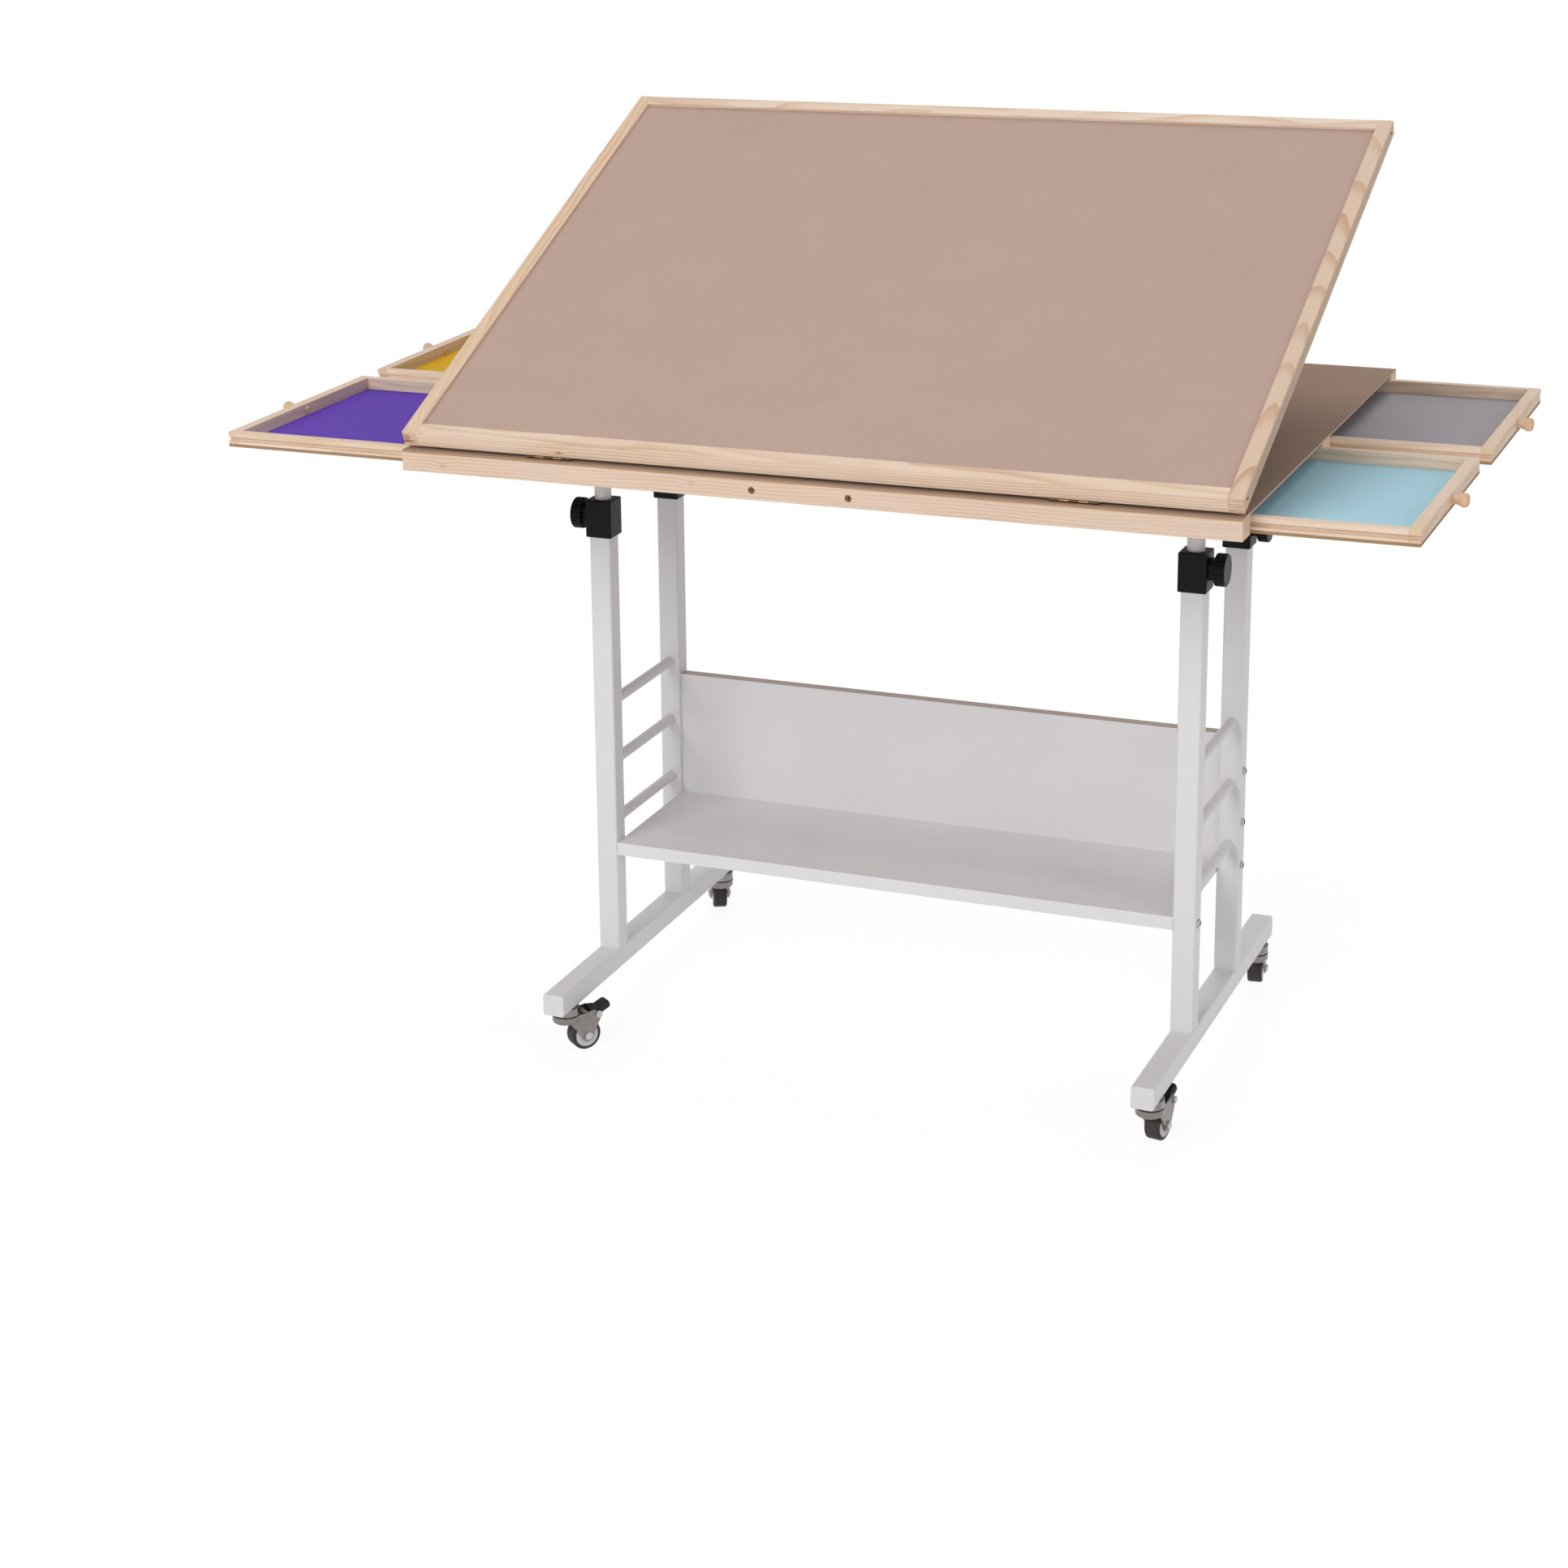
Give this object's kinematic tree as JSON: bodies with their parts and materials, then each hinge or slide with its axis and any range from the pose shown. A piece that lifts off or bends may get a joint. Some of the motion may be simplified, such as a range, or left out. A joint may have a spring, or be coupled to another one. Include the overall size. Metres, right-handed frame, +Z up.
{
  "type": "jigsaw puzzle table with drawers",
  "caption": "Wheeled jigsaw puzzle table: framed tilting board over a turning case with side drawers, on a height-adjustable steel stand with a shelf.",
  "frame": {"origin": "on the floor, under the middle of the whole table as it stands with its drawers open", "axes": "+X along the table to its right end, +Y from the front to the back, +Z up"},
  "size_m": [1.333, 0.72, 1.0171],
  "materials": {
    "white_steel": "matt white powder coat",
    "white_laminate": "matt white laminate on particle board",
    "zinc_steel": "zinc plated",
    "black_plastic": "moulded, fine grain",
    "bronzed_screws": "brown screw heads",
    "brown_hardboard": "smooth hardboard",
    "taupe_hardboard": "smooth hardboard",
    "brass": "satin",
    "pine": "clear sanded pine",
    "purple_lining": "thin hardboard, purple face",
    "yellow_lining": "thin hardboard, yellow face",
    "blue_lining": "thin hardboard, light blue face",
    "grey_lining": "thin hardboard, grey face",
    "caster_steel": "zinc plated pressed steel",
    "caster_rubber": "dark grey tyre on a light grey hub"
  },
  "bodies": {
    "stand": {"side_frame_left": "white_steel", "side_frame_right": "white_steel", "foot_end_caps": "white_steel", "shelf": "white_laminate", "back_panel": "white_laminate", "shelf_and_panel_bolts": "zinc_steel", "clamp_blocks": "black_plastic", "caster_mounts": "caster_steel"},
    "lift": {"lift_side_left": "white_steel", "lift_side_right": "white_steel", "lift_cross_tube_front": "white_steel", "lift_cross_tube_rear": "white_steel", "lift_frame_bolts": "zinc_steel", "bearing_bars": "white_steel", "bearing_lower_plate": "zinc_steel", "bearing_balls": "zinc_steel"},
    "case": {"bearing_upper_plate": "zinc_steel", "case_front_rail": "pine", "case_rear_rail": "pine", "case_dividers": "pine", "case_cross_rails": "pine", "case_screws": "bronzed_screws", "case_top_panel": "brown_hardboard", "drawer_runners": "pine", "hinge_lower_leaves": "brass", "prop_racks": "pine"},
    "board": {"board_front_rail": "pine", "board_rear_rail": "pine", "board_left_rail": "pine", "board_right_rail": "pine", "board_panel": "taupe_hardboard", "hinge_upper_leaves": "brass", "prop_brackets": "black_plastic"},
    "prop": {"prop_bail": "zinc_steel"},
    "drawer_front_left": {"drawer_frame_front_left": "pine", "drawer_bottom_front_left": "purple_lining", "drawer_pull_front_left": "pine"},
    "knob_front_left": {"clamp_knob_front_left": "black_plastic"},
    "caster_front_left": {"caster_fork_front_left": "caster_steel"},
    "wheel_front_left": {"caster_wheel_front_left": "caster_rubber"},
    "pedal_front_left": {"brake_pedal_front_left": "black_plastic"},
    "drawer_front_right": {"drawer_frame_front_right": "pine", "drawer_bottom_front_right": "blue_lining", "drawer_pull_front_right": "pine"},
    "knob_front_right": {"clamp_knob_front_right": "black_plastic"},
    "caster_front_right": {"caster_fork_front_right": "caster_steel"},
    "wheel_front_right": {"caster_wheel_front_right": "caster_rubber"},
    "pedal_front_right": {"brake_pedal_front_right": "black_plastic"},
    "drawer_rear_left": {"drawer_frame_rear_left": "pine", "drawer_bottom_rear_left": "yellow_lining", "drawer_pull_rear_left": "pine"},
    "knob_rear_left": {"clamp_knob_rear_left": "black_plastic"},
    "caster_rear_left": {"caster_fork_rear_left": "caster_steel"},
    "wheel_rear_left": {"caster_wheel_rear_left": "caster_rubber"},
    "drawer_rear_right": {"drawer_frame_rear_right": "pine", "drawer_bottom_rear_right": "grey_lining", "drawer_pull_rear_right": "pine"},
    "knob_rear_right": {"clamp_knob_rear_right": "black_plastic"},
    "caster_rear_right": {"caster_fork_rear_right": "caster_steel"},
    "wheel_rear_right": {"caster_wheel_rear_right": "caster_rubber"}
  },
  "joints": [
    {"name": "lift_slide", "type": "slide", "parent": "stand", "child": "lift", "axis": [0, 0, 1], "range_m": [-0.05, 0.18]},
    {"name": "top_swivel", "type": "hinge", "parent": "lift", "child": "case", "pos_m": [0.0335, 0, 0.698], "axis": [0, 0, 1], "continuous": true},
    {"name": "board_tilt", "type": "hinge", "parent": "case", "child": "board", "pos_m": [0.0335, -0.352, 0.7263], "axis": [1, 0, 0], "range_deg": [-23, 12]},
    {"name": "prop_hinge", "type": "hinge", "parent": "board", "child": "prop", "pos_m": [0.0335, -0.09668, 0.84141], "axis": [1, 0, 0], "range_deg": [-24, 46]},
    {"name": "drawer_slide_front_left", "type": "slide", "parent": "case", "child": "drawer_front_left", "axis": [-1, 0, 0], "range_m": [-0.232, 0.068]},
    {"name": "drawer_slide_front_right", "type": "slide", "parent": "case", "child": "drawer_front_right", "axis": [1, 0, 0], "range_m": [-0.161, 0.139]},
    {"name": "drawer_slide_rear_left", "type": "slide", "parent": "case", "child": "drawer_rear_left", "axis": [-1, 0, 0], "range_m": [-0.233, 0.067]},
    {"name": "drawer_slide_rear_right", "type": "slide", "parent": "case", "child": "drawer_rear_right", "axis": [1, 0, 0], "range_m": [-0.166, 0.134]},
    {"name": "knob_turn_front_left", "type": "hinge", "parent": "stand", "child": "knob_front_left", "pos_m": [-0.3355, -0.095, 0.598], "axis": [-1, 0, 0], "continuous": true},
    {"name": "knob_turn_front_right", "type": "hinge", "parent": "stand", "child": "knob_front_right", "pos_m": [0.4025, -0.095, 0.598], "axis": [1, 0, 0], "continuous": true},
    {"name": "knob_turn_rear_left", "type": "hinge", "parent": "stand", "child": "knob_rear_left", "pos_m": [-0.3355, 0.095, 0.598], "axis": [-1, 0, 0], "continuous": true},
    {"name": "knob_turn_rear_right", "type": "hinge", "parent": "stand", "child": "knob_rear_right", "pos_m": [0.4025, 0.095, 0.598], "axis": [1, 0, 0], "continuous": true},
    {"name": "caster_swivel_front_left", "type": "hinge", "parent": "stand", "child": "caster_front_left", "pos_m": [-0.3055, -0.2305, 0.0387], "axis": [0, 0, 1], "continuous": true},
    {"name": "wheel_spin_front_left", "type": "hinge", "parent": "caster_front_left", "child": "wheel_front_left", "pos_m": [-0.29196, -0.21316, 0.018], "axis": [0.788, -0.6157, 0], "continuous": true},
    {"name": "pedal_hinge_front_left", "type": "hinge", "parent": "caster_front_left", "child": "pedal_front_left", "pos_m": [-0.28334, -0.20213, 0.042], "axis": [-0.788, 0.6157, 0], "range_deg": [0, 25]},
    {"name": "caster_swivel_front_right", "type": "hinge", "parent": "stand", "child": "caster_front_right", "pos_m": [0.3725, -0.2305, 0.0387], "axis": [0, 0, 1], "continuous": true},
    {"name": "wheel_spin_front_right", "type": "hinge", "parent": "caster_front_right", "child": "wheel_front_right", "pos_m": [0.37594, -0.20877, 0.018], "axis": [0.9877, -0.1564, 0], "continuous": true},
    {"name": "pedal_hinge_front_right", "type": "hinge", "parent": "caster_front_right", "child": "pedal_front_right", "pos_m": [0.37813, -0.19494, 0.042], "axis": [-0.9877, 0.1564, 0], "range_deg": [0, 25]},
    {"name": "caster_swivel_rear_left", "type": "hinge", "parent": "stand", "child": "caster_rear_left", "pos_m": [-0.3055, 0.2305, 0.0387], "axis": [0, 0, 1], "continuous": true},
    {"name": "wheel_spin_rear_left", "type": "hinge", "parent": "caster_rear_left", "child": "wheel_rear_left", "pos_m": [-0.31549, 0.2501, 0.018], "axis": [0.891, 0.454, 0], "continuous": true},
    {"name": "caster_swivel_rear_right", "type": "hinge", "parent": "stand", "child": "caster_rear_right", "pos_m": [0.3725, 0.2305, 0.0387], "axis": [0, 0, 1], "continuous": true},
    {"name": "wheel_spin_rear_right", "type": "hinge", "parent": "caster_rear_right", "child": "wheel_rear_right", "pos_m": [0.36944, 0.25229, 0.018], "axis": [0.9903, 0.1392, 0], "continuous": true}
  ],
  "couplings": [
    {"joint": "prop_hinge", "follows": "board_tilt", "ratio": -2}
  ]
}
